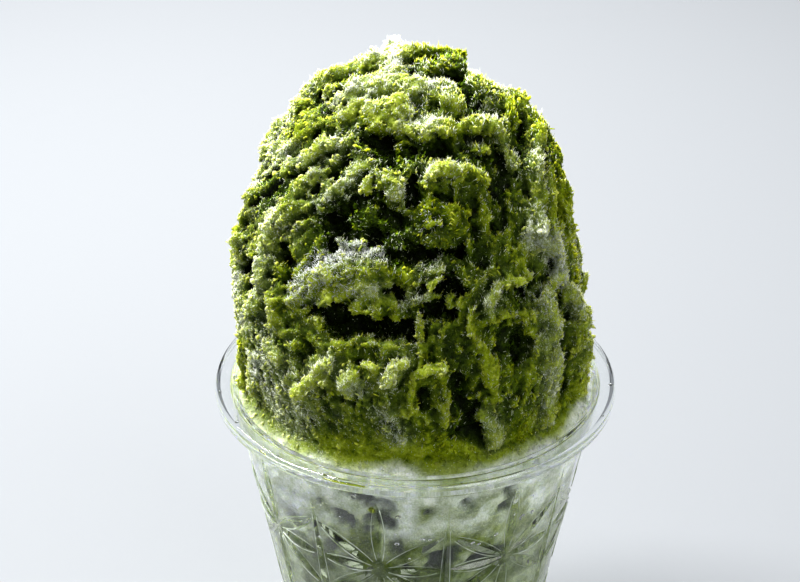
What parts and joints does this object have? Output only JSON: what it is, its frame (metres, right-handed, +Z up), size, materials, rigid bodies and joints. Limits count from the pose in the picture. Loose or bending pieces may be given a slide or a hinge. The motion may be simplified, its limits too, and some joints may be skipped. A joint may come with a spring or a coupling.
{
  "type": "kakigori in a clear cup",
  "caption": "Tall mound of green tea shaved ice with ridges, tongues and hollows, heaped in a clear flared plastic cup with a turned-down rim and cut-star relief.",
  "frame": {"origin": "centre of the circle that the cup stands on", "axes": "+Z up through the cup and the mound, -Y towards the shown side with the great hollow, +X to the right of that side"},
  "size_m": [0.101, 0.101, 0.1829],
  "materials": {
    "clear_plastic": "clear, glossy, with cut facets",
    "green_tea_ice": "wet, spongy shaved ice with frosty crystals"
  },
  "bodies": {
    "root": {"cup": "clear_plastic", "shaved_ice": "green_tea_ice"}
  },
  "joints": []
}
